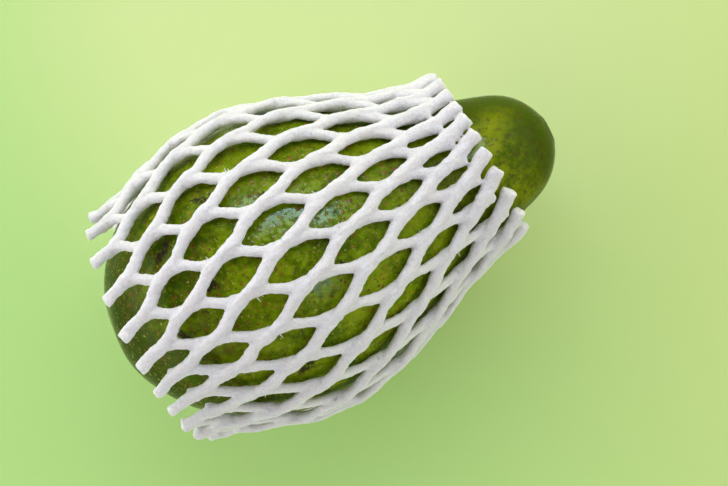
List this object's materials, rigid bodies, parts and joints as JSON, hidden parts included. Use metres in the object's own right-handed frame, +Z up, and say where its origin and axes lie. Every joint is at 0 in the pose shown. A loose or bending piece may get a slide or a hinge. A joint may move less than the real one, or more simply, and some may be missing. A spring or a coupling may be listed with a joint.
{
  "type": "avocado in a foam net sleeve",
  "caption": "Large smooth green avocado lying on its side in a white foam net sleeve of crossing strands, with its neck standing out of the sleeve's mouth.",
  "frame": {"origin": "middle of the bounding box on the ground plane, where the pressed foam rests", "axes": "+X along the fruit towards its neck, +Z up"},
  "size_m": [0.1583, 0.1086, 0.1068],
  "materials": {
    "green_skin": "satin",
    "white_foam": "matte"
  },
  "bodies": {
    "root": {"avocado": "green_skin", "foam_net_sleeve": "white_foam"}
  },
  "joints": []
}
